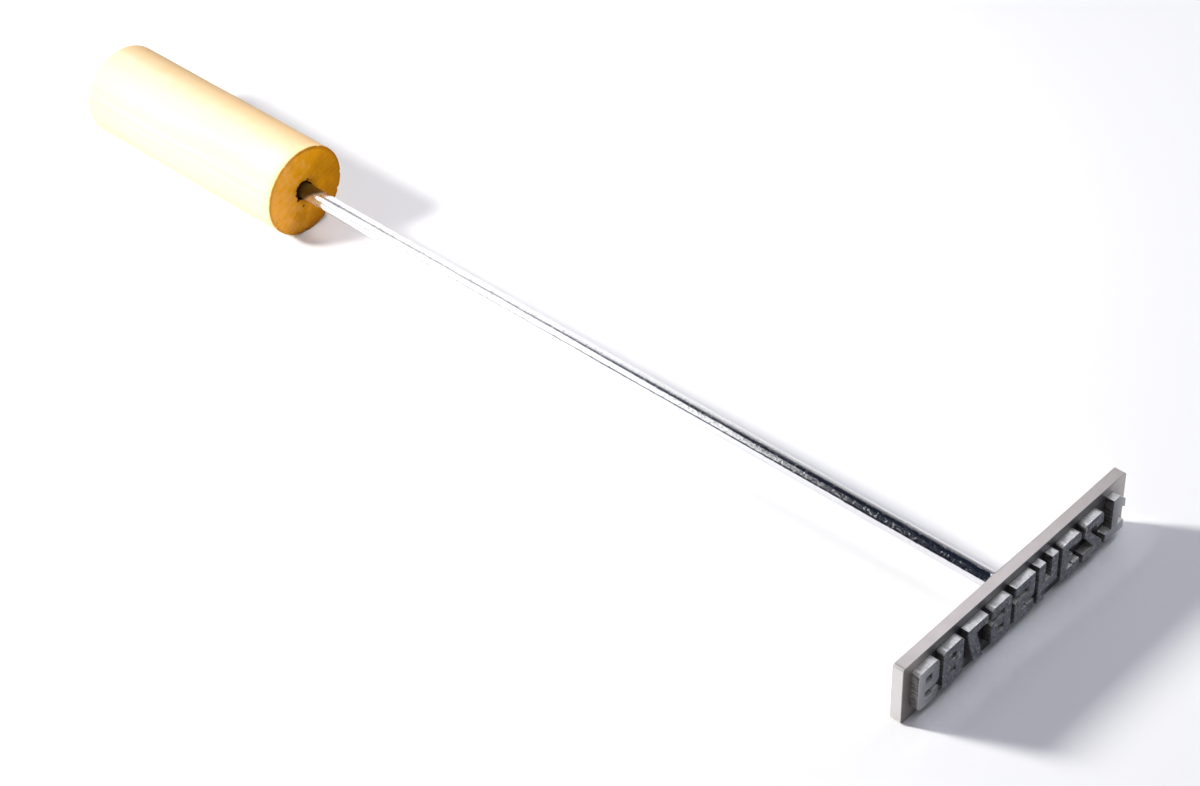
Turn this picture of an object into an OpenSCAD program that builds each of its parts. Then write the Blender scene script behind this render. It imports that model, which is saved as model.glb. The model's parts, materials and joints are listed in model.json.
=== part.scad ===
// Hand branding iron: a turned wooden handle, a bright steel rod and a steel plate of raised figures.
// Every piece is drawn on the tool's own axis, which runs along +X from the handle to the figures,
// with x = 0 at the back of the plate. lie() then lays the whole tool down on z = 0, where it
// rests on the handle's front rim and on the plate's lower front edge.

/* [Handle] */
// Diameter of the handle
handle_d = 34; // [30:0.5:42]
// Length of the handle
handle_length = 97; // [80:1:130]
// Rounding of the edge at the rod's end
front_edge_r = 0.6; // [0.2:0.1:2]
// Rounding of the edge at the butt
butt_edge_r = 1.5; // [0.4:0.1:4]

/* [Rod] */
// Diameter of the rod
rod_d = 6; // [4.5:0.1:8]
// Free length of the rod, from the handle to the plate
rod_free = 302; // [200:1:400]
// Length of the rod inside the handle
rod_seat = 56; // [35:1:65]
// Chamfer at the end of the rod inside the handle
rod_chamfer = 0.5; // [0.2:0.1:1.5]

/* [Glued socket] */
// Gap between the rod and the socket's wall, filled with adhesive
glue_line = 0.5; // [0.2:0.05:1]
// Depth of the adhesive below the mouth of the socket
glue_depth = 2.5; // [1:0.1:8]
// Space behind the rod's end, filled with adhesive
glue_behind = 1.5; // [0.5:0.1:4]
// Angle of the drill's point at the bottom of the socket
drill_point = 118; // [90:1:150]

/* [Plate] */
// Thickness of the plate
plate_t = 4; // [3:0.1:8]
// Margin of the plate above the figures
plate_top_margin = 3.35; // [2:0.05:8]
// Margin of the plate below the figures
plate_foot_margin = 4.15; // [2:0.05:8]
// Margin of the plate at each end of the row of figures
plate_end_margin = 3.8; // [1.5:0.1:10]
// Corner radius of the plate's outline
plate_corner_r = 1.2; // [0.3:0.1:3]

/* [Lock nut] */
// Wall of the nut between its thread and its flats
nut_wall = 2; // [1:0.1:4]
// Thickness of the nut
nut_t = 3.2; // [2:0.1:6]
// Angle of the chamfer on the nut's corners
nut_chamfer = 30; // [15:1:40]
// Radial play between the thread of the rod and the nut or the plate
thread_play = 0.05; // [0.02:0.01:0.1]

/* [Figures] */
// Height of a figure
figure_h = 15; // [13:0.1:20]
// Width of a figure
figure_w = 9.6; // [9:0.1:14]
// Width of a figure's strokes
figure_stroke = 3.2; // [2:0.1:3.4]
// Outer radius at the corners of a figure's bowls
figure_round = 1.6; // [0.4:0.1:5]
// Gap between two figures
figure_gap = 2; // [0.8:0.1:4]
// Height of the figures above the plate
figure_relief = 3; // [1.5:0.1:6]

/* [Hidden] */
$fn = 96;

figure_count = 9;
figure_pitch = figure_w + figure_gap;
plate_length = figure_count * figure_pitch - figure_gap + 2 * plate_end_margin;
plate_h = plate_foot_margin + figure_h + plate_top_margin;
// Height of the middle of the row above the middle of the plate
figure_rise = (plate_foot_margin - plate_top_margin) / 2;

handle_r = handle_d / 2;
handle_front = -rod_free;
handle_butt = handle_front - handle_length;

rod_r = rod_d / 2;
rod_back = handle_front - rod_seat;
socket_r = rod_r + glue_line;
socket_back = rod_back - glue_behind;
drill_depth = socket_r / tan(drill_point / 2);
thread_r = rod_r + thread_play;
nut_inner_r = rod_r + nut_wall;

// Bowls keep a short straight between their corners, and a counter keeps a small radius
straight = 0.2;
bowl_h = (figure_h + figure_stroke) / 2;
bowl_r = min(figure_round, bowl_h / 2 - straight, figure_w / 2 - straight);
counter_r = max(bowl_r - figure_stroke, straight);
// A slanted stroke is this wide across, and the open ends of bowls hook in this far
slant = 1.3 * figure_stroke;
hook = 1.2 * figure_stroke;
// The height of the four's bar, and the place of the seven's foot
four_bar = figure_h / 4;
seven_foot = figure_w / 5;
// Strokes that join reach this far into each other
lap = 0.2;

// Cuts reach this far past the faces that they open
over = 1;

// The table touches the round of the handle's front rim and the plate's lower front edge
rim_run = plate_t - (handle_front - front_edge_r);
rim_drop = (handle_r - front_edge_r) - plate_h / 2;
lie_tilt = atan2(rim_drop, rim_run) + asin(front_edge_r / norm([rim_run, rim_drop]));
lie_rise = plate_t * sin(lie_tilt) + plate_h / 2 * cos(lie_tilt);

// The origin lies below the middle of the tool as it rests
reach_front = (plate_t + figure_relief) * cos(lie_tilt) + (figure_rise + figure_h / 2) * sin(lie_tilt);
reach_back = (handle_butt + butt_edge_r) * cos(lie_tilt)
           - (handle_r - butt_edge_r) * sin(lie_tilt) - butt_edge_r;
lie_shift = -(reach_front + reach_back) / 2;

// Lays the tool down from its own axis to its rest on the table
module lie()
  translate([lie_shift, 0, lie_rise])
    rotate([0, lie_tilt, 0])
      children();

// Round bar along the axis, from one place to another
module bar(from, to, r)
  translate([from, 0, 0])
    rotate([0, 90, 0])
      cylinder(h = to - from, r = r);

// Cone along the axis, from one radius to another
module taper(from, to, r_from, r_to)
  translate([from, 0, 0])
    rotate([0, 90, 0])
      cylinder(h = to - from, r1 = r_from, r2 = r_to);

// Rectangle from the origin with four round corners
module round_box(w, h, r) {
  translate([r, 0]) square([w - 2 * r, h]);
  translate([0, r]) square([w, h - 2 * r]);
  for (x = [r, w - r], y = [r, h - r])
    translate([x, y]) circle(r);
}

// Half outline of the handle: across is the radius, and up runs from the front to the butt
module handle_outline() {
  square([handle_r - butt_edge_r, handle_length]);
  translate([0, front_edge_r])
    square([handle_r, handle_length - front_edge_r - butt_edge_r]);
  square([handle_r - front_edge_r, handle_length / 2]);
  translate([handle_r - front_edge_r, front_edge_r]) circle(front_edge_r);
  translate([handle_r - butt_edge_r, handle_length - butt_edge_r]) circle(butt_edge_r);
}

// Blind hole that the rod is glued into, with the drill's point at its bottom
module socket(to) {
  bar(socket_back, to, socket_r);
  taper(socket_back - drill_depth, socket_back, 0, socket_r);
}

module handle()
  color("wheat")
    lie()
      difference() {
        translate([handle_front, 0, 0])
          rotate([0, -90, 0])
            rotate_extrude()
              handle_outline();
        socket(handle_front + over);
      }

module adhesive()
  color("tan")
    lie()
      difference() {
        socket(handle_front - glue_depth);
        round_rod();
      }

// The rod is screwed through the plate and ground flush with its face, under the figures
module round_rod() {
  taper(rod_back, rod_back + rod_chamfer, rod_r - rod_chamfer, rod_r);
  bar(rod_back + rod_chamfer, plate_t, rod_r);
}

module rod()
  color("gainsboro")
    lie()
      round_rod();

// The cone that turns the nut's corners away meets its back face on the circle inside the flats
module lock_nut()
  color("silver")
    lie()
      difference() {
        intersection() {
          rotate([0, -90, 0])
            rotate(30)
              cylinder(h = nut_t, r = nut_inner_r / cos(30), $fn = 6);
          taper(-nut_t, 0, nut_inner_r, nut_inner_r + nut_t / tan(nut_chamfer));
        }
        bar(-nut_t - over, over, thread_r);
      }

module brand_plate()
  color("darkgray")
    lie()
      difference() {
        rotate([90, 0, 90])
          linear_extrude(plate_t)
            translate([-plate_length / 2, -plate_h / 2])
              round_box(plate_length, plate_h, plate_corner_r);
        bar(-over, plate_t + over, thread_r);
      }

// Outlines of the figures: each fills the box figure_w by figure_h from the origin.
// A bowl is a closed ring, and two of them that share their middle stroke fill the height.
module ring(h)
  difference() {
    round_box(figure_w, h, bowl_r);
    translate([figure_stroke, figure_stroke])
      round_box(figure_w - 2 * figure_stroke, h - 2 * figure_stroke, counter_r);
  }

module one() {
  stem = (figure_w - figure_stroke) / 2;
  flag = figure_h - figure_stroke;
  polygon([[0, 0], [figure_w, 0], [figure_w, figure_stroke], [stem + figure_stroke, figure_stroke],
           [stem + figure_stroke, figure_h], [stem, figure_h], [0, flag], [0, flag - figure_stroke],
           [stem, figure_h - slant], [stem, figure_stroke], [0, figure_stroke]]);
}

module two() {
  waist = figure_h - bowl_h / 2;
  intersection() {
    translate([0, figure_h - bowl_h]) ring(bowl_h);
    translate([0, waist]) square([figure_w, bowl_h]);
  }
  polygon([[0, 0], [figure_w, 0], [figure_w, figure_stroke], [slant, figure_stroke],
           [figure_w, waist], [figure_w - lap, waist + lap],
           [figure_w - figure_stroke + lap, waist + lap], [figure_w - figure_stroke, waist],
           [0, figure_stroke]]);
}

module eight() {
  ring(bowl_h);
  translate([0, figure_h - bowl_h]) ring(bowl_h);
}

module three()
  difference() {
    eight();
    translate([-over, hook]) square([over + slant, figure_h - 2 * hook]);
  }

// The four is open at its top: an arm and a stem, with a bar between them
module four() {
  translate([0, four_bar]) {
    square([figure_w, figure_stroke]);
    square([figure_stroke, figure_h - four_bar]);
  }
  translate([figure_w - figure_stroke, 0]) square([figure_stroke, figure_h]);
}

module five() {
  translate([0, figure_h - figure_stroke]) square([figure_w, figure_stroke]);
  translate([0, bowl_h - figure_stroke]) {
    square([figure_stroke, figure_h - bowl_h + figure_stroke]);
    square([figure_w / 2, figure_stroke]);
  }
  difference() {
    ring(bowl_h);
    translate([-over, hook]) square([over + slant, bowl_h - figure_stroke - hook]);
  }
}

module six() {
  ring(bowl_h);
  difference() {
    ring(figure_h);
    translate([figure_w - slant, bowl_h / 2])
      square([over + slant, figure_h - hook - bowl_h / 2]);
  }
}

module seven()
  polygon([[0, figure_h], [figure_w, figure_h], [figure_w, figure_h - figure_stroke],
           [seven_foot + slant, 0], [seven_foot, 0], [figure_w - slant, figure_h - figure_stroke],
           [0, figure_h - figure_stroke]]);

module nine()
  translate([figure_w, figure_h])
    rotate(180)
      six();

// A figure cut through from its outline. It faces +X, reads the wrong way round as a stamp does,
// and stands on the plate in its own place of the row, which starts at the +Y end.
module figure(place)
  color("dimgray")
    lie()
      translate([plate_t, ((figure_count + 1) / 2 - place) * figure_pitch, figure_rise])
        rotate([90, 0, 90])
          linear_extrude(figure_relief)
            mirror([1, 0])
              translate([-figure_w / 2, -figure_h / 2])
                children();

module figure_1() figure(1) one();
module figure_2() figure(2) two();
module figure_3() figure(3) three();
module figure_4() figure(4) four();
module figure_5() figure(5) five();
module figure_6() figure(6) six();
module figure_7() figure(7) seven();
module figure_8() figure(8) eight();
module figure_9() figure(9) nine();

handle();
adhesive();
rod();
lock_nut();
brand_plate();
figure_1();
figure_2();
figure_3();
figure_4();
figure_5();
figure_6();
figure_7();
figure_8();
figure_9();
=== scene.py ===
import json
import math

import bmesh
import bpy
from mathutils import Matrix, Vector, noise


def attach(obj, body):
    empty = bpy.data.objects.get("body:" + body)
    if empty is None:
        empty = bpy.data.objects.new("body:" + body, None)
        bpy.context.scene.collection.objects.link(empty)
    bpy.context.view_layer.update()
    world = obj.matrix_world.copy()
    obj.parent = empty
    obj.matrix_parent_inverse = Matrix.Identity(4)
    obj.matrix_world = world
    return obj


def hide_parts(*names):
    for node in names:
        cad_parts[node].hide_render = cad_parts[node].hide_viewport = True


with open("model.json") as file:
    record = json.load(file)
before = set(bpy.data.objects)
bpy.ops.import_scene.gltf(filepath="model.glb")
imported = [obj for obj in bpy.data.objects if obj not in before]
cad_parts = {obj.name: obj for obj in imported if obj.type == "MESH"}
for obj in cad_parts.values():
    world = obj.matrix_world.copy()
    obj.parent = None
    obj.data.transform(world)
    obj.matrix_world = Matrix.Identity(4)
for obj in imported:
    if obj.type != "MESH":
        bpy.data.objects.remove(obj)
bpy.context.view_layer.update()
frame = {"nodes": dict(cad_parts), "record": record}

# The handle is a dowel of pale birch, turned to 34 mm, sawn off at both ends and sanded.
# Its front holds a blind hole for the rod, drilled by hand: the mouth is torn at its upper side,
# and the sawn rim has small chips.
mm = 0.001
slack = 0.01 * mm
handle_r = 17 * mm
handle_length = 97 * mm
handle_sides = 192
handle_crease = math.radians(35)
front_edge_r = 0.6 * mm
butt_edge_r = 1.5 * mm
socket_r = 3.5 * mm
socket_depth = 57.5 * mm
drill_point = 2.1 * mm
rod_free = 302 * mm
front_rings = [15.6 * mm, 12 * mm, 9 * mm, 7.2 * mm, 6.6 * mm, 6.2 * mm, 5.6 * mm, 5.2 * mm, 4.8 * mm,
               4.4 * mm, 4.1 * mm, 3.8 * mm]
mouth_steps = [0.3 * mm, 0.3 * mm, 0.4 * mm, 0.6 * mm, 1 * mm]
side_rings = [1.2 * mm, 2.2 * mm, 4 * mm, 8 * mm, 24 * mm, 48 * mm, 72 * mm]

# The iron lies on its handle's front rim and on the plate's lower front edge, so that its axis falls
# a little from the handle to the figures. Every piece is shaped along +X, with x = 0 at the back of
# the plate, and is laid down on that axis when it is finished.
mounts = {mount["name"]: mount for mount in frame["record"]["mounts"]}
tool_axis = Vector(mounts["brand_face"]["axis"])
plate_back = Vector(mounts["butt_face"]["pos_m"]) + tool_axis * (handle_length + rod_free)
lying = Matrix.Translation(plate_back) @ tool_axis.to_track_quat("X", "Z").to_matrix().to_4x4()
handle_front = -rod_free
handle_butt = handle_front - handle_length


def pick(piece, kind, test):
    """Selects, in edit mode, the vertices, edges or faces whose middle and normal pass a test."""
    bpy.ops.mesh.select_mode(type=kind)
    bpy.ops.mesh.select_all(action="DESELECT")
    shape = bmesh.from_edit_mesh(piece.data)
    if kind == "VERT":
        chosen = [v for v in shape.verts if test(v.co, v.normal)]
    elif kind == "EDGE":
        chosen = [e for e in shape.edges if all(test(v.co, v.normal) for v in e.verts)]
    else:
        chosen = [f for f in shape.faces if test(f.calc_center_median(), f.normal)]
    for part in chosen:
        part.select_set(True)
    shape.select_flush_mode()
    bmesh.update_edit_mesh(piece.data)


def cut_across(axis, places):
    """Cuts all that is in edit mode by planes across an axis of the tool, at these places on it."""
    normal = Vector([axis == name for name in "XYZ"])
    for place in places:
        bpy.ops.mesh.select_all(action="SELECT")
        bpy.ops.mesh.bisect(plane_co=normal * place, plane_no=normal)


bpy.ops.object.select_all(action="DESELECT")
bpy.ops.mesh.primitive_cylinder_add(vertices=handle_sides, radius=handle_r, depth=handle_length,
                                    location=(handle_front - handle_length / 2, 0, 0),
                                    rotation=(0, math.pi / 2, 0))
handle = bpy.context.object
handle.name = "turned_handle"
bpy.ops.object.transform_apply(location=True, rotation=True)
bpy.ops.object.mode_set(mode="EDIT")

# The two rims are eased, the butt's more than the front's
for rim, radius, steps in ((handle_front, front_edge_r, 3), (handle_butt, butt_edge_r, 5)):
    pick(handle, "EDGE", lambda co, normal: abs(co.x - rim) < slack)
    bpy.ops.mesh.bevel(offset=radius, segments=steps, affect="EDGES")

# Rings on the front lead down to the mouth, and the mouth goes in to the drill's point
pick(handle, "FACE", lambda co, normal: normal.x > 0.99)
reached = handle_r - front_edge_r
for ring in front_rings + [socket_r]:
    bpy.ops.mesh.inset(thickness=reached - ring)
    reached = ring
for step in mouth_steps + [socket_depth - sum(mouth_steps)]:
    bpy.ops.mesh.extrude_region_move(TRANSFORM_OT_translate={"value": (-step, 0, 0)})
bpy.ops.mesh.extrude_region_move(TRANSFORM_OT_translate={"value": (-drill_point, 0, 0)})
bpy.ops.mesh.merge(type="CENTER")

# Rings round the side, closer together at the rim, carry the chips
cut_across("X", [handle_front - back for back in side_rings])

# Small chips along the rim: clock angle from +Y up to +Z, reach and push
rim_chips = [(262, 1.1, (-0.3, 0.0, 0.25)), (300, 0.9, (-0.25, -0.1, 0.2)),
             (334, 1.0, (-0.3, -0.25, 0.1)), (357, 0.8, (-0.2, -0.25, 0.0)),
             (208, 0.9, (-0.2, 0.2, 0.1)), (118, 0.8, (-0.2, 0.1, -0.15)),
             (62, 0.9, (-0.2, -0.1, -0.15))]
chip_slack = 0.05 * mm
for clock, reach, push in rim_chips:
    turn = math.radians(clock)
    centre = Vector((handle_front, handle_r * math.cos(turn), handle_r * math.sin(turn)))
    shape = bmesh.from_edit_mesh(handle.data)
    nearest = min((v.co - centre).length for v in shape.verts) + chip_slack
    pick(handle, "VERT", lambda co, normal: (co - centre).length < nearest)
    bpy.ops.transform.translate(value=Vector(push) * mm, use_proportional_edit=True,
                                proportional_edit_falloff="SMOOTH", proportional_size=reach * mm)

# The drill tore the mouth: clock angle, half the angle that is torn, how far out, and a bare pit below.
# The rings inside the mouth sink with the tear, less the deeper they are.
mouth_tears = [(140, 80, 1.2 * mm), (72, 9, 1.3 * mm), (208, 12, 1.4 * mm), (300, 60, 0.2 * mm)]
tear_depth = 1.6 * mm
tear_slope = 0.6 * mm
tear_reach = 3.2 * mm
mouth_depth = sum(mouth_steps)
pit = Vector((handle_front, -1.6 * mm, -5.7 * mm))
pit_r = 0.6 * mm
shape = bmesh.from_edit_mesh(handle.data)
for vertex in shape.verts:
    co = vertex.co
    radius = co.yz.length
    depth = (handle_front - co.x) / mouth_depth
    if depth < 1 and radius < socket_r + tear_reach:
        spot = Vector((handle_front, co.y, co.z))
        clock = math.degrees(math.atan2(co.z, co.y))
        ragged = 1 + 0.5 * noise.noise(spot * 1.1 / mm) + 0.25 * noise.noise(spot * 3.1 / mm)
        torn = 0
        for middle, half, out in mouth_tears:
            apart = abs((clock - middle + 180) % 360 - 180) / half
            if apart < 1:
                torn = max(torn, out * ragged * math.cos(apart * math.pi / 2) ** 0.6)
        inside = min(1, max(0, (socket_r + torn - radius) / tear_slope))
        pitted = max(0, 1 - (spot - pit).length / pit_r)
        sunk = tear_depth * inside * inside * (3 - 2 * inside) + pit_r * pitted
        co.x -= sunk * (1 - depth)
bmesh.update_edit_mesh(handle.data)

# Torn fibres leave the rim a little fuzzy
fuzzy_depth = 0.7 * mm
fuzzy_from = 16.2 * mm
fuzzy_push = 0.08 * mm
pick(handle, "VERT", lambda co, normal: co.x > handle_front - fuzzy_depth and co.yz.length > fuzzy_from)
bpy.ops.transform.vertex_random(offset=fuzzy_push, seed=9)
bpy.ops.object.mode_set(mode="OBJECT")
bpy.ops.object.shade_smooth_by_angle(angle=handle_crease)


class Socket:
    """An output of a shader node. Arithmetic on it adds Math nodes."""

    def __init__(self, sheet, output):
        self.sheet = sheet
        self.output = output

    def math(self, operation, first, second=0.0):
        return self.sheet.add("ShaderNodeMath", {"operation": operation}, {0: first, 1: second})

    def __add__(self, other):
        return self.math("ADD", self, other)

    def __radd__(self, other):
        return self.math("ADD", other, self)

    def __sub__(self, other):
        return self.math("SUBTRACT", self, other)

    def __rsub__(self, other):
        return self.math("SUBTRACT", other, self)

    def __mul__(self, other):
        return self.math("MULTIPLY", self, other)

    def __rmul__(self, other):
        return self.math("MULTIPLY", other, self)

    def __pow__(self, other):
        return self.math("POWER", self, other)

    def __abs__(self):
        return self.math("ABSOLUTE", self)

    def top(self, other):
        return self.math("MAXIMUM", self, other)

    def wave(self):
        return self.math("SINE", self)

    def ramp(self, low, high):
        """0 below low, 1 above high and a smooth rise between them; low may be above high."""
        limits = {"Value": self, "From Min": low, "From Max": high}
        return self.sheet.add("ShaderNodeMapRange", {"interpolation_type": "SMOOTHSTEP"}, limits)


class Sheet:
    """The node sheet of a material, the world or a lamp."""

    def __init__(self, owner):
        owner.use_nodes = True
        self.owner = owner
        self.tree = owner.node_tree

    def add(self, kind, settings, inputs, output=0):
        """Adds a node with its settings, feeds its inputs and gives one output, or several as a list."""
        node = self.tree.nodes.new(kind)
        for name, value in settings.items():
            setattr(node, name, value)
        for name, value in inputs.items():
            self.feed(node, name, value)
        if isinstance(output, tuple):
            return [Socket(self, node.outputs[i]) for i in output]
        return Socket(self, node.outputs[output])

    def feed(self, node, name, value):
        """Sets an input, given by its name or number, to a number, a colour or a link."""
        shown = [s for s in node.inputs if s.enabled and s.name == name]
        socket = shown[0] if shown else node.inputs[name]
        if isinstance(value, Socket):
            self.tree.links.new(value.output, socket)
        else:
            socket.default_value = value

    def surface(self, **inputs):
        """Feeds the Principled shader, with its sockets' names in lower case."""
        shader = self.tree.nodes["Principled BSDF"]
        names = {socket.name.lower().replace(" ", "_"): socket.name for socket in shader.inputs}
        for name, value in inputs.items():
            self.feed(shader, names[name], value)

    def place(self):
        """Where a point is along, across and up the tool's own axis, in millimetres."""
        world = self.add("ShaderNodeTexCoord", {}, {}, "Object")
        axes = {"Vector": world, "Location": plate_back, "Rotation": lying.to_euler(),
                "Scale": (mm, mm, mm)}
        return self.add("ShaderNodeMapping", {"vector_type": "TEXTURE"}, axes)

    def split(self, vector):
        return self.add("ShaderNodeSeparateXYZ", {}, {"Vector": vector}, (0, 1, 2))

    def grain(self, place, per_mm, detail=3.0, roughness=0.5):
        """Noise with its own number of waves per millimetre along, across and up."""
        stretched = self.add("ShaderNodeVectorMath", {"operation": "MULTIPLY"}, {0: place, 1: per_mm})
        inputs = {"Vector": stretched, "Scale": 1.0, "Detail": detail, "Roughness": roughness}
        return self.add("ShaderNodeTexNoise", {}, inputs)

    def mix(self, share, low, high):
        """A colour between two, by share."""
        colours = {"Factor": share, "A": low, "B": high}
        return self.add("ShaderNodeMix", {"data_type": "RGBA"}, colours, 2)

    def bump(self, height, depth, strength=1.0):
        """A normal from a height of 0 to 1 that stands for this depth in metres."""
        inputs = {"Height": height, "Distance": depth, "Strength": strength}
        return self.add("ShaderNodeBump", {}, inputs)


birch = Sheet(bpy.data.materials.new("sanded_birch"))
pith = (28, -52)
ring_width = 2.4
early_wood = (0.88, 0.75, 0.58, 1)
late_wood = (0.82, 0.65, 0.45, 1)
tan_wood = (0.78, 0.53, 0.26, 1)
pore_brown = (0.60, 0.40, 0.20, 1)
# The front end's colours are a shaded copy of the end grain, darker and more orange than the butt's,
# with the warm light of its shade painted in.
shaded_end_gold = (0.92, 0.385, 0.003, 1)
shaded_end_orange = (1.0, 0.46, 0.075, 1)
shaded_end_brown = (0.36, 0.115, 0.001, 1)
butt_gold = (0.82, 0.58, 0.30, 1)
butt_brown = (0.58, 0.34, 0.13, 1)
rim_brown = (0.40, 0.14, 0.008, 1)
rim_yellow = (0.90, 0.66, 0.32, 1)
scorched_and_shaded_brown = (0.012, 0.006, 0.002, 1)
front = handle_front / mm
butt = handle_butt / mm
place = birch.place()
along, across, up = birch.split(place)
drift = birch.grain(place, (0.012, 0.05, 0.05), detail=2)
pith_reach = ((across - pith[0]) ** 2 + (up - pith[1]) ** 2) ** 0.5
rings = ((pith_reach + drift * 5) * (2 * math.pi / ring_width)).wave() * 0.5 + 0.5
fibres = birch.grain(place, (0.02, 1.6, 1.6), detail=5, roughness=0.6)
pores = birch.grain(place, (0.22, 5.0, 5.0), detail=2).ramp(0.66, 0.74)
speckle = birch.grain(place, (0.5, 3.5, 3.5), detail=4, roughness=0.65)
clouds = birch.grain(place, (0.2, 0.22, 0.22), detail=3)
blots = birch.grain(place, (0.3, 0.45, 0.45), detail=4, roughness=0.6)
fuzz = birch.grain(place, (1.5, 1.5, 1.5), detail=3)
saw_lines = birch.grain(place, (0.4, 0.25, 2.2), detail=3)
radius = (across ** 2 + up ** 2) ** 0.5
front_face = (along + fuzz * 0.5).ramp(front - 0.45, front + 0.05)
butt_face = (along - fuzz * 0.5).ramp(butt + 0.9, butt + 0.1)
ends = front_face.top(butt_face).top(radius.ramp(10.0, 8.0))
rim = (along + fuzz * 1.6).ramp(front - 0.2, front + 0.6) * radius.ramp(15.4, 16.8)
side_colour = birch.mix(rings * 0.45 + fibres * 0.5, early_wood, late_wood)
# The far upper side is mixed towards tan: partly the bark side's tone, partly painted shade on the side
# that the bulb doesn't reach.
bark_and_shaded_side = (across * 0.76 + up * 0.65 + clouds * 4).ramp(7.5, 18.0)
butt_side = (along + clouds * 12).ramp(butt + 38, butt + 2)
side_colour = birch.mix((bark_and_shaded_side * 0.9).top(butt_side * 0.27), side_colour, tan_wood)
side_colour = birch.mix(pores * 0.35, side_colour, pore_brown)
side_colour = birch.mix((along + fuzz * 3).ramp(front - 2.5, front + 2.0), side_colour, rim_yellow)
# Painted light and shade: the end face is lighter and more orange to the left, where the lit table
# throws light on it, and darker to the right and lower right, beside the handle's shadow.
painted_side_shade = (across * 0.7 - up * 0.7 + clouds * 24).ramp(-4.0, 30.0)
end_shade = painted_side_shade * 0.62 + (speckle + saw_lines * 0.06 - 0.53) * 1.4 + rings * 0.05
end_colour = birch.mix((blots - across * 0.014).ramp(0.40, 0.75), shaded_end_gold, shaded_end_orange)
end_colour = birch.mix(end_shade.ramp(0.0, 1.0), end_colour, shaded_end_brown)
end_colour = birch.mix((radius + clouds * 4).ramp(8.5, 5.5) * 0.45, end_colour, shaded_end_brown)
end_colour = birch.mix(rim * (across.ramp(-12.0, 8.0) * 0.5 + 0.35), end_colour, rim_brown)
# Painted shade: the bottom of the end face is darker, next to the contact shadow on the table.
painted_foot_shade = (across * 0.2 - up * 0.98 + clouds * 5).ramp(14.5, 19.0)
end_colour = birch.mix(painted_foot_shade * 0.6, end_colour, rim_brown)
# The pit is painted near black: partly scorch from the drill, partly painted shade in this recess.
from_pit = ((across - pit.y / mm) ** 2 + (up - pit.z / mm) ** 2) ** 0.5 + fuzz * 0.8
end_colour = birch.mix(from_pit.ramp(1.1, 0.7) * 0.8, end_colour, scorched_and_shaded_brown)
butt_colour = birch.mix(rings * 0.3 + speckle * 0.7, butt_gold, butt_brown)
end_colour = birch.mix(butt_face, end_colour, butt_colour)
# The inside of the hole is painted near black: partly scorch and glue, partly painted shade in the hole.
inside = (along + fuzz * 0.3).ramp(front - 0.05, front - 0.45) * radius.ramp(8.0, 7.2) * (1 - butt_face)
end_colour = birch.mix(inside, end_colour, scorched_and_shaded_brown)
relief = fibres * 0.5 + pores * -0.4 + ends * (speckle * 1.4 + saw_lines * 0.08)
birch.surface(base_color=birch.mix(ends, side_colour, end_colour),
              roughness=0.58 + fibres * 0.12 + ends * 0.2,
              specular_ior_level=0.06,
              normal=birch.bump(relief, 0.06 * mm, 0.6))


def finish_piece(piece, node, material):
    """Lays a shaped piece down, and has it stand for its node with this material."""
    bpy.ops.object.mode_set(mode="OBJECT")
    bpy.ops.object.select_all(action="DESELECT")
    piece.select_set(True)
    bpy.context.view_layer.objects.active = piece
    piece.matrix_world = lying @ piece.matrix_world
    bpy.ops.object.transform_apply(location=True, rotation=True, scale=True)
    piece.data.materials.clear()
    piece.data.materials.append(material)
    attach(piece, "root")
    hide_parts(node)


finish_piece(handle, "handle", birch.owner)


# The adhesive is cured epoxy, poured round the rod in its hole. Only its top shows, as an amber ring
# some millimetres down the mouth, so the solid keeps its shape and gets its finish here.
epoxy = Sheet(bpy.data.materials.new("amber_epoxy"))
amber = (0.30, 0.15, 0.04, 1)
dark_amber = (0.12, 0.05, 0.012, 1)
clouding = epoxy.grain(epoxy.place(), (0.6, 0.6, 0.6), detail=4)
epoxy.surface(base_color=epoxy.mix(clouding, amber, dark_amber),
              roughness=0.18 + clouding * 0.2,
              normal=epoxy.bump(clouding, 0.1 * mm, 0.5))
adhesive = frame["nodes"]["adhesive"]
adhesive.data.materials.clear()
adhesive.data.materials.append(epoxy.owner)


# The rod is drawn 6 mm steel bar with bright plating. One end is glued into the handle, and the other
# carries a thread that goes through the nut and the plate and is ground flush with the plate's face.
rod_r = 3 * mm
rod_seat = 56 * mm
rod_chamfer = 0.5 * mm
rod_sides = 64
rod_stations = 160
rod_crease = math.radians(30)
rod_wander = 0.03 * mm
rod_wave = 14 * mm
plate_t = 4 * mm
nut_t = 3.2 * mm
thread_pitch = 1 * mm
thread_depth = 0.5 * mm
rings_a_turn = 8
thread_from = -5.2 * mm
thread_to = -2.9 * mm
rod_back = handle_front - rod_seat

bpy.ops.object.select_all(action="DESELECT")
bpy.ops.mesh.primitive_cylinder_add(vertices=rod_sides, radius=rod_r, depth=plate_t - rod_back,
                                    location=((plate_t + rod_back) / 2, 0, 0),
                                    rotation=(0, math.pi / 2, 0))
rod = bpy.context.object
rod.name = "bright_rod"
bpy.ops.object.transform_apply(location=True, rotation=True)
bpy.ops.object.mode_set(mode="EDIT")
pick(rod, "EDGE", lambda co, normal: co.x < rod_back + slack)
bpy.ops.mesh.bevel(offset=rod_chamfer, segments=1, affect="EDGES")

# Rings stand evenly along the bar, and eight to a turn along the thread
ring_places = [rod_back + (thread_from - rod_back) * i / rod_stations for i in range(2, rod_stations)]
thread_length = thread_to - thread_from
thread_rings = round(thread_length / thread_pitch * rings_a_turn)
ring_places += [thread_from + thread_length * i / thread_rings for i in range(thread_rings + 1)]
cut_across("X", ring_places)

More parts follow.
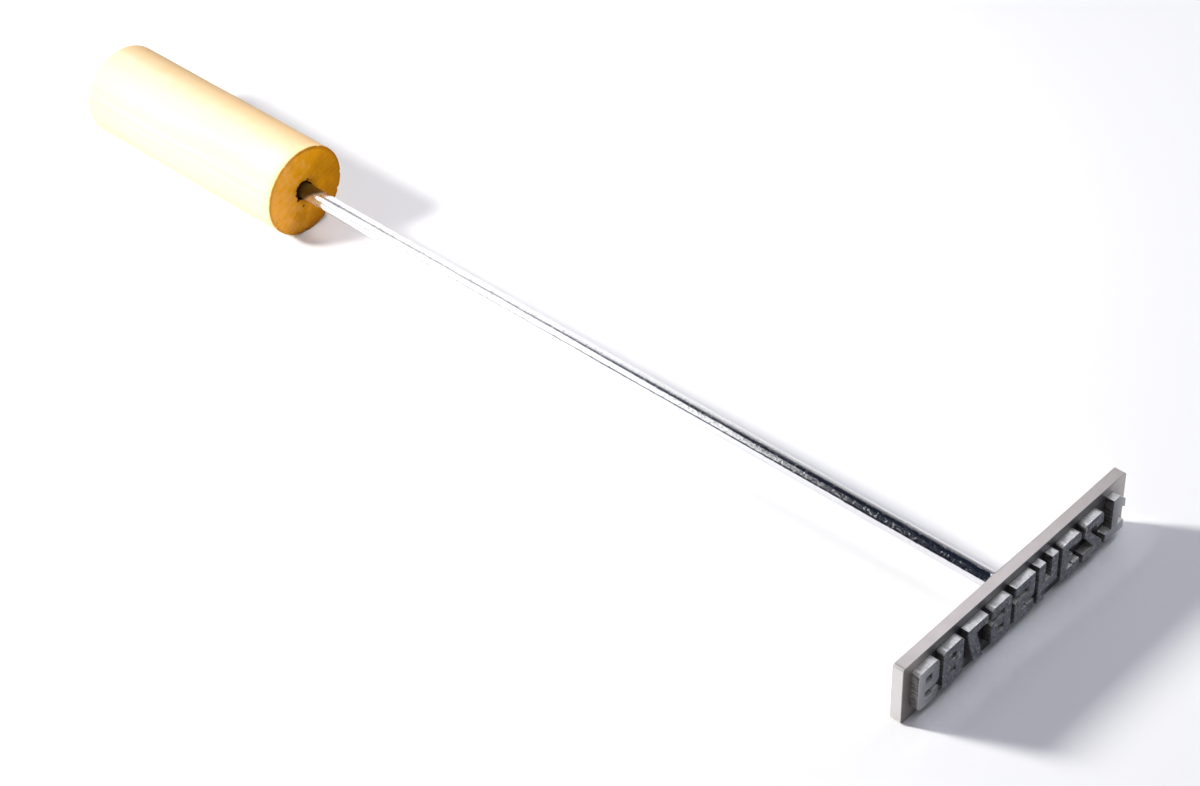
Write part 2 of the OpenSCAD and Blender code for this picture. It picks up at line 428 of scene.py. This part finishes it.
# The thread is a groove that winds round the bar, and the bar itself is not quite true
shape = bmesh.from_edit_mesh(rod.data)
for vertex in shape.verts:
    co = vertex.co
    clock = math.atan2(co.z, co.y) / (2 * math.pi)
    out = Vector((0, co.y, co.z)).normalized()
    if thread_from < co.x < thread_to:
        turn = (co.x / thread_pitch + clock) % 1
        co -= out * thread_depth * abs(2 * turn - 1)
    elif handle_front < co.x <= thread_from:
        co += out * rod_wander * noise.noise((co.x / rod_wave, 3 * out.y, 3 * out.z))
bmesh.update_edit_mesh(rod.data)
bpy.ops.object.mode_set(mode="OBJECT")
bpy.ops.object.shade_smooth_by_angle(angle=rod_crease)

plating = Sheet(bpy.data.materials.new("bright_plating"))
plating_bright = (0.80, 0.80, 0.82, 1)
plating_dull = (0.66, 0.66, 0.69, 1)
film_and_reflection_brown = (0.10, 0.055, 0.008, 1)
end_black = (0.06, 0.06, 0.064, 1)
film_length = 5.3
rubbed_length = 9
place = plating.place()
along, across, up = plating.split(place)
peel = plating.grain(place, (0.35, 1.3, 1.3), detail=2)
pits = plating.grain(place, (0.8, 2.5, 2.5), detail=3)
flecks_and_glints = plating.grain(place, (0.8, 1.5, 1.5), detail=3).ramp(0.54, 0.68)
drawn = plating.grain(place, (0.02, 9.0, 9.0), detail=2)

# A thin film of the adhesive was drawn out of the mouth and stains the bar there, which was rubbed
# dull to take it. Its dark brown is in part a painted reflection, standing for the dark mouth and the
# shaded end face that the bar mirrors there.
film_end = along - across * 0.8 - up * 0.8 + peel * 1.5
film_and_reflection_mask = film_end.ramp(front + film_length + 2.5, front + film_length)
rubbed = (along + peel * 3).ramp(front + rubbed_length + 4, front + rubbed_length)
metal = plating.mix(pits.ramp(0.5, 0.75), plating_bright, plating_dull)
relief = peel * 0.5 + pits * 0.2 + flecks_and_glints * 0.28 + drawn * 0.05
sooty_end = along.ramp(plate_t / mm - 0.3, plate_t / mm - 0.1)
metal = plating.mix(sooty_end, metal, end_black)
plating.surface(base_color=plating.mix(film_and_reflection_mask, metal, film_and_reflection_brown),
                metallic=1 - film_and_reflection_mask * 0.8,
                roughness=0.07 + pits * 0.05 + flecks_and_glints * 0.04 + rubbed * 0.2 + sooty_end * 0.3,
                normal=plating.bump(relief, 0.06 * mm, 0.5))
finish_piece(rod, "rod", plating.owner)


# The lock nut is a thin hexagon nut of turned steel, 10 mm across its flats, run up the thread
# against the back of the plate. Its corners are turned away on the side of the handle.
nut_flats = 10 * mm
nut_chamfer = math.radians(30)
nut_play = 0.05 * mm
nut_corner = nut_flats / 2 / math.cos(math.radians(30))
nut_edge = 0.15 * mm
nut_crease = math.radians(25)
merge_gap = 0.02 * mm


def apply_modifier(piece, kind, **settings):
    """Adds a modifier to a piece and applies it."""
    modifier = piece.modifiers.new(kind.lower(), kind)
    for name, value in settings.items():
        setattr(modifier, name, value)
    bpy.context.view_layer.objects.active = piece
    bpy.ops.object.modifier_apply(modifier=modifier.name)


bpy.ops.object.select_all(action="DESELECT")
bpy.ops.mesh.primitive_cylinder_add(vertices=6, radius=nut_corner, depth=nut_t,
                                    location=(-nut_t / 2, 0, 0), rotation=(0, math.pi / 2, 0))
nut = bpy.context.object
nut.name = "hexagon_lock_nut"
bpy.ops.object.transform_apply(location=True, rotation=True)
cone_end = nut_flats / 2 + nut_t / math.tan(nut_chamfer)
bpy.ops.mesh.primitive_cone_add(vertices=96, radius1=nut_flats / 2, radius2=cone_end, depth=nut_t,
                                location=(-nut_t / 2, 0, 0), rotation=(0, math.pi / 2, 0))
turning = bpy.context.object
bpy.ops.mesh.primitive_cylinder_add(vertices=64, radius=rod_r + nut_play, depth=3 * nut_t,
                                    location=(-nut_t / 2, 0, 0), rotation=(0, math.pi / 2, 0))
drill = bpy.context.object
apply_modifier(nut, "BOOLEAN", operation="INTERSECT", object=turning)
apply_modifier(nut, "BOOLEAN", operation="DIFFERENCE", object=drill)
bpy.data.objects.remove(turning)
bpy.data.objects.remove(drill)
bpy.ops.object.select_all(action="DESELECT")
nut.select_set(True)
bpy.context.view_layer.objects.active = nut
bpy.ops.object.mode_set(mode="EDIT")
bpy.ops.mesh.select_all(action="SELECT")
bpy.ops.mesh.remove_doubles(threshold=merge_gap)
bpy.ops.object.mode_set(mode="OBJECT")
bpy.ops.object.shade_smooth()
apply_modifier(nut, "BEVEL", width=nut_edge, segments=2, limit_method="ANGLE",
               angle_limit=nut_crease, harden_normals=True)

turned = Sheet(bpy.data.materials.new("turned_steel"))
turned_light = (0.60, 0.59, 0.57, 1)
turned_dark = (0.42, 0.41, 0.40, 1)
place = turned.place()
along, across, up = turned.split(place)
tool_marks = (((across ** 2 + up ** 2) ** 0.5) * 22).wave() * 0.5 + 0.5
stain = turned.grain(place, (0.3, 0.3, 0.3), detail=4)
turned.surface(base_color=turned.mix(stain.ramp(0.35, 0.7), turned_light, turned_dark),
               metallic=1.0,
               roughness=0.3 + stain * 0.2,
               normal=turned.bump(tool_marks, 0.02 * mm, 0.4))
finish_piece(nut, "lock_nut", turned.owner)


# The brand plate is flat 4 mm steel bar with rounded corners, ground along its length to a satin
# finish. It is tapped in the middle for the rod, and its front, with the figures brazed on, is sooty,
# with painted shade between the figures.
plate_length = 110 * mm
plate_h = 22.5 * mm
plate_corner_r = 1.2 * mm
plate_edge = 0.22 * mm
plate_crease = math.radians(40)

bpy.ops.object.select_all(action="DESELECT")
bpy.ops.mesh.primitive_cube_add(size=1, location=(plate_t / 2, 0, 0),
                                scale=(plate_t, plate_length, plate_h))
plate = bpy.context.object
plate.name = "satin_plate"
bpy.ops.object.transform_apply(location=True, rotation=True, scale=True)
bpy.ops.object.mode_set(mode="EDIT")
bpy.ops.mesh.select_mode(type="EDGE")
bpy.ops.mesh.select_all(action="DESELECT")
shape = bmesh.from_edit_mesh(plate.data)
for edge in shape.edges:
    ends_apart = edge.verts[0].co - edge.verts[1].co
    edge.select_set(abs(ends_apart.x) > plate_t / 2)
bmesh.update_edit_mesh(plate.data)
bpy.ops.mesh.bevel(offset=plate_corner_r, segments=8, affect="EDGES")
bpy.ops.object.mode_set(mode="OBJECT")
bpy.ops.mesh.primitive_cylinder_add(vertices=64, radius=rod_r + nut_play, depth=3 * plate_t,
                                    location=(plate_t / 2, 0, 0), rotation=(0, math.pi / 2, 0))
drill = bpy.context.object
apply_modifier(plate, "BOOLEAN", operation="DIFFERENCE", object=drill)
bpy.data.objects.remove(drill)
bpy.ops.object.select_all(action="DESELECT")
plate.select_set(True)
bpy.context.view_layer.objects.active = plate
bpy.ops.object.shade_smooth()
apply_modifier(plate, "BEVEL", width=plate_edge, segments=3, limit_method="ANGLE",
               angle_limit=plate_crease, harden_normals=True)

satin = Sheet(bpy.data.materials.new("satin_steel"))
satin_light = (0.68, 0.625, 0.59, 1)
satin_dark = (0.56, 0.51, 0.485, 1)
lit_end_light = (0.72, 0.69, 0.68, 1)
sooty_grey = (0.14, 0.14, 0.143, 1)
soot_and_shade_black = (0.04, 0.04, 0.044, 1)
heat_blue = (0.10, 0.10, 0.13, 1)
heat_straw = (0.36, 0.29, 0.20, 1)
figure_row = 7.9
figure_rise = 0.4
place = satin.place()
grinding = satin.grain(place, (5.0, 0.12, 5.0), detail=3)
patches = satin.grain(place, (0.12, 0.12, 0.12), detail=4)
along, across, up = satin.split(place)
sooty = along.ramp(plate_t / mm - 0.3, plate_t / mm - 0.05)
# The band of the front behind the figures is near black: soot, and painted shade in the gaps between
# them.
soot_and_shade_band = (abs(up - figure_rise) + patches).ramp(figure_row + 1.0, figure_row - 0.5) * 0.9
wear = patches.ramp(0.3, 0.75) * 0.6 + grinding * 0.3
satin_colour = satin.mix(wear, satin_light, satin_dark)
behind = along.ramp(0.3, 0.05)
from_rod = (across ** 2 + up ** 2) ** 0.5 + patches * 8
satin_colour = satin.mix(behind * from_rod.ramp(26.0, 18.0) * 0.8, satin_colour, heat_straw)
satin_colour = satin.mix(behind * from_rod.ramp(19.0, 13.0), satin_colour, heat_blue)
# Painted light: both ends of the bar are painted lighter, standing for the bulb's light on the near end,
# which faces it.
lit_ends = abs(across).ramp(plate_length / 2 / mm - 0.6, plate_length / 2 / mm - 0.1)
satin_colour = satin.mix(lit_ends, satin_colour, lit_end_light)
front_colour = satin.mix(soot_and_shade_band, sooty_grey, soot_and_shade_black)
cool_end = (abs(across) + patches * 6).ramp(40.0, 58.0)
front_colour = satin.mix(cool_end * 0.7, front_colour, satin_dark)
satin.surface(base_color=satin.mix(sooty, satin_colour, front_colour),
              metallic=0.9,
              roughness=0.28 + patches * 0.12,
              normal=satin.bump(grinding, 0.012 * mm, 0.5))
finish_piece(plate, "brand_plate", satin.owner)


# The figures are cut out of steel sheet, mirrored as on a stamp, and brazed on the plate in a row.
# The cut leaves fine lines across their edges, and their front arrises are nicked.
figure_count = 9
figure_relief = 3 * mm
cut_spacing = 0.5 * mm
cut_wander = 0.05 * mm
front_ring = 0.25 * mm
nick_depth = 0.22 * mm
nick_spacing = 0.6 * mm
arris = 0.07 * mm
arris_crease = math.radians(50)
weld_gap = 0.05 * mm
figure_front = plate_t + figure_relief

cut_steel = Sheet(bpy.data.materials.new("cut_steel"))
# A lit copy of the steel for the figures' tops and a shaded copy for their walls
lit_top_light = (0.90, 0.89, 0.85, 1)
lit_top_dark = (0.50, 0.495, 0.475, 1)
shaded_wall_light = (0.26, 0.255, 0.25, 1)
shaded_wall_dark = (0.09, 0.088, 0.085, 1)
front_light = (0.23, 0.235, 0.255, 1)
front_dark = (0.11, 0.113, 0.125, 1)
bare_front_and_glint = (0.55, 0.55, 0.56, 1)
place = cut_steel.place()
along, across, up = cut_steel.split(place)
streaks = cut_steel.grain(place, (0.5, 2.4, 2.4), detail=4, roughness=0.65)
blotches = cut_steel.grain(place, (1.2, 1.2, 0.7), detail=5, roughness=0.65)
# Sparse bright flecks, painted on the fronts as glints
flecks_and_glints = cut_steel.grain(place, (0.9, 0.9, 0.9), detail=4, roughness=0.7).ramp(0.56, 0.66)
front_face = along.ramp(figure_front / mm - 0.16, figure_front / mm - 0.05)
root = (along + blotches).ramp(plate_t / mm + 0.9, plate_t / mm + 0.3)
# Painted light and shade: faces that look up get the lit copy and the walls the shaded copy, as light
# falls from above.
lit_from_above = cut_steel.split(cut_steel.add("ShaderNodeNewGeometry", {}, {}, "Normal"))[2].ramp(0.3, 0.7)
lit_top_colour = cut_steel.mix(streaks.ramp(0.4, 0.68) * 0.7, lit_top_light, lit_top_dark)
shaded_wall_colour = cut_steel.mix(streaks.ramp(0.35, 0.65), shaded_wall_light, shaded_wall_dark)
shaded_wall_colour = cut_steel.mix(root * 0.7, shaded_wall_colour, soot_and_shade_black)
lit_and_shaded_edge_colour = cut_steel.mix(lit_from_above, shaded_wall_colour, lit_top_colour)
front_colour = cut_steel.mix(blotches.ramp(0.35, 0.65), front_light, front_dark)
cool_end = (abs(across) + blotches * 6).ramp(40.0, 58.0)
# Painted highlights: the flecks lighten the fronts in spots, and towards the ends the fronts are
# lighter.
front_colour = cut_steel.mix(cool_end.top(flecks_and_glints * 0.8), front_colour, bare_front_and_glint)
cut_steel.surface(base_color=cut_steel.mix(front_face, lit_and_shaded_edge_colour, front_colour),
                  metallic=0.8,
                  roughness=0.40 + streaks * 0.2 + front_face * (blotches * 0.1 - 0.08),
                  normal=cut_steel.bump(streaks * 0.7 + blotches * 0.5, 0.06 * mm, 0.6))

for number in range(1, figure_count + 1):
    node = frame["nodes"][f"figure_{number}"]
    figure = bpy.data.objects.new(f"cut_figure_{number}", node.data.copy())
    bpy.context.collection.objects.link(figure)
    figure.data.transform(lying.inverted())
    bpy.ops.object.select_all(action="DESELECT")
    figure.select_set(True)
    bpy.context.view_layer.objects.active = figure
    bpy.ops.object.mode_set(mode="EDIT")
    bpy.ops.mesh.select_all(action="SELECT")
    bpy.ops.mesh.remove_doubles(threshold=weld_gap)

    # A narrow ring inside the front's outline, and cuts across the whole figure, carry the nicks
    pick(figure, "FACE", lambda co, normal: normal.x > 0.9)
    bpy.ops.mesh.inset(thickness=front_ring)
    shape = bmesh.from_edit_mesh(figure.data)
    for axis, places in (("Y", [v.co.y for v in shape.verts]), ("Z", [v.co.z for v in shape.verts])):
        steps = round((max(places) - min(places)) / cut_spacing)
        cut_across(axis, [min(places) + i * cut_spacing for i in range(1, steps)])
    bpy.ops.mesh.select_all(action="SELECT")
    bpy.ops.mesh.remove_doubles(threshold=merge_gap)

    shape = bmesh.from_edit_mesh(figure.data)
    for vertex in shape.verts:
        co = vertex.co
        spot = Vector((number, co.y / nick_spacing, co.z / nick_spacing))
        if co.x > figure_front - slack and vertex.normal.x < 0.95:
            co.x -= nick_depth * max(0, noise.noise(spot * 0.5) - 0.15)
        co.y += cut_wander * noise.noise(spot)
        co.z += cut_wander * noise.noise(spot + Vector((7, 0, 0)))
    bmesh.update_edit_mesh(figure.data)
    bpy.ops.object.mode_set(mode="OBJECT")
    bpy.ops.object.shade_smooth()
    apply_modifier(figure, "BEVEL", width=arris, segments=2, limit_method="ANGLE",
                   angle_limit=arris_crease, harden_normals=True)
    finish_piece(figure, f"figure_{number}", cut_steel.owner)


# The table is plain and white
table_size = 12
paper_white = (0.88, 0.88, 0.88, 1)
bpy.ops.object.select_all(action="DESELECT")
bpy.ops.mesh.primitive_plane_add(size=table_size)
table = bpy.context.object
table.name = "white_table"
paper = Sheet(bpy.data.materials.new("white_paper"))
paper.surface(base_color=paper_white, roughness=0.7)
table.data.materials.append(paper.owner)

# A small round bulb stands low behind the handle, on the near side. Its light fades little with
# distance, so that the table is evenly white.
bpy.ops.object.light_add(type="POINT", location=(-0.365, -0.300, 0.311))
bulb = bpy.context.object
bulb.name = "low_bulb"
bulb.data.shadow_soft_size = 0.0625
bulb.data.energy = 58.5
bulb.data.color = (1.0, 0.99, 0.965)
glow = Sheet(bulb.data)
linear, constant = glow.add("ShaderNodeLightFalloff", {}, {"Strength": 1.0}, (1, 2))
glow.feed(glow.tree.nodes["Emission"], "Strength", linear * 0.08 + constant * 0.90)

# Soft boxes above the plate, in front of it and above the handle fill the shadows, with a wide ceiling.
# The box above the handle has a grid on it, and that box and the ceiling are flagged off from the
# bright rod.
cool_white = (0.87, 0.885, 1.0)
warm_white = (1.0, 0.97, 0.95)


def add_box(name, place, aim, size, power, colour):
    """A round soft box that faces a place."""
    bpy.ops.object.light_add(type="AREA", location=place)
    lamp = bpy.context.object
    lamp.name = name
    lamp.rotation_euler = (Vector(aim) - Vector(place)).to_track_quat("-Z", "Y").to_euler()
    lamp.data.shape = "DISK"
    lamp.data.size = size
    lamp.data.energy = power
    lamp.data.color = colour


add_box("top_box", (0.10, 0.47, 0.83), (0.12, 0, 0), 0.50, 1.7, cool_white)
add_box("front_box", (0.50, 0.30, 0.66), (0.0, 0, 0), 0.80, 0.3, cool_white)
add_box("handle_box", (-0.04, 0.12, 0.26), (-0.06, 0.04, 0), 0.20, 0.09, warm_white)
add_box("ceiling", (0, 0, 5), (0, 0, 0), 10, 148, cool_white)
bpy.data.objects["handle_box"].data.spread = math.radians(85)
for name in ("handle_box", "ceiling"):
    bpy.data.objects[name].visible_glossy = False

# A strip with a narrow grid leans over the figures, and lights them and the table at their foot
strip_place = Vector((0.28, 0, 0.26))
strip_aim = Vector((0.202, 0, 0))
strip_lean = math.atan2(strip_place.x - strip_aim.x, strip_place.z)
bpy.ops.object.light_add(type="AREA", location=strip_place, rotation=(0, strip_lean, 0))
strip = bpy.context.object
strip.name = "foot_strip"
strip.data.shape = "RECTANGLE"
strip.data.size = 0.004
strip.data.size_y = 0.12
strip.data.energy = 0.001
strip.data.spread = math.radians(5.5)
strip.data.color = cool_white
strip.visible_camera = False

# Two white cards stand behind the handle, and the room in front of the plate is dim. They are there for
# the bright metal to mirror, and light nothing else. A direction is told by its angle around the rod, in
# degrees from the far side over the top to the near side, and by how far forward it leans.
studio = bpy.data.worlds.new("studio")
bpy.context.scene.world = studio
studio.cycles_visibility.diffuse = False
dark_room = (0.008, 0.012, 0.026, 1)
grey_room = (0.13, 0.14, 0.20, 1)
pale_room = (0.60, 0.55, 0.55, 1)
blue_room = (0.14, 0.15, 0.20, 1)
white_card = (1.5, 1.5, 1.5, 1)
dim_room = (0.30, 0.30, 0.31, 1)
seen_white = (0.95, 0.95, 0.95, 1)
seam = 92
card_foot = 173
cards_from = -0.63
cards_run = 0.23
cards_part = 0.3
room = Sheet(studio)
towards = room.add("ShaderNodeTexCoord", {}, {}, "Generated")
ahead, aside, above = room.split(towards)
around = above.math("ARCTAN2", above, aside) * math.degrees(1)
forward = (ahead - cards_from) * (1 / cards_run)
gap = (forward - cards_part).top(0)
spread = (cards_part - forward).top(0) * 60 - 0.5
far_edge = seam - 8 - gap * 120
far_card = (around + gap * 30 + spread).ramp(seam, far_edge) * (1 - forward.ramp(cards_part, 0.8) * 0.45)
near_card = (around - gap * 35 - spread).ramp(seam, seam + 4) * forward.ramp(0.76, 0.69)
near_card = near_card * (around + gap * 45).ramp(card_foot + 4, card_foot)
light = room.mix(forward.ramp(0.08, 0.2), grey_room, pale_room)
light = room.mix(forward.ramp(0.28, 0.42), light, blue_room)
light = room.mix(forward.ramp(0.5, 0.75), light, dark_room)
light = room.mix(far_card.top(near_card), light, white_card)
light = room.mix(ahead.ramp(-0.3, 0.0), light, dim_room)
seen = room.add("ShaderNodeLightPath", {}, {}, "Is Camera Ray")
light = room.mix(seen, light, seen_white)
room.feed(room.tree.nodes["Background"], "Color", light)

# The camera looks down on the iron from the figures' near end
camera_aim = Vector((33.24, -0.80, 0)) * mm
camera_distance = 974 * mm
camera_azimuth = math.radians(44.267)
camera_height = math.radians(40.272)
camera_roll = math.radians(-3.048)
camera_lens = 88.965
camera_sensor = 36
back = Vector((math.sin(camera_azimuth) * math.cos(camera_height),
               -math.cos(camera_azimuth) * math.cos(camera_height),
               math.sin(camera_height)))
bpy.ops.object.camera_add(location=camera_aim + back * camera_distance)
camera = bpy.context.object
turn = back.to_track_quat("Z", "Y").to_matrix() @ Matrix.Rotation(camera_roll, 3, "Z")
camera.rotation_euler = turn.to_euler()
camera.data.lens = camera_lens
camera.data.sensor_width = camera_sensor
bpy.context.scene.camera = camera
bpy.context.scene.view_settings.view_transform = "Standard"
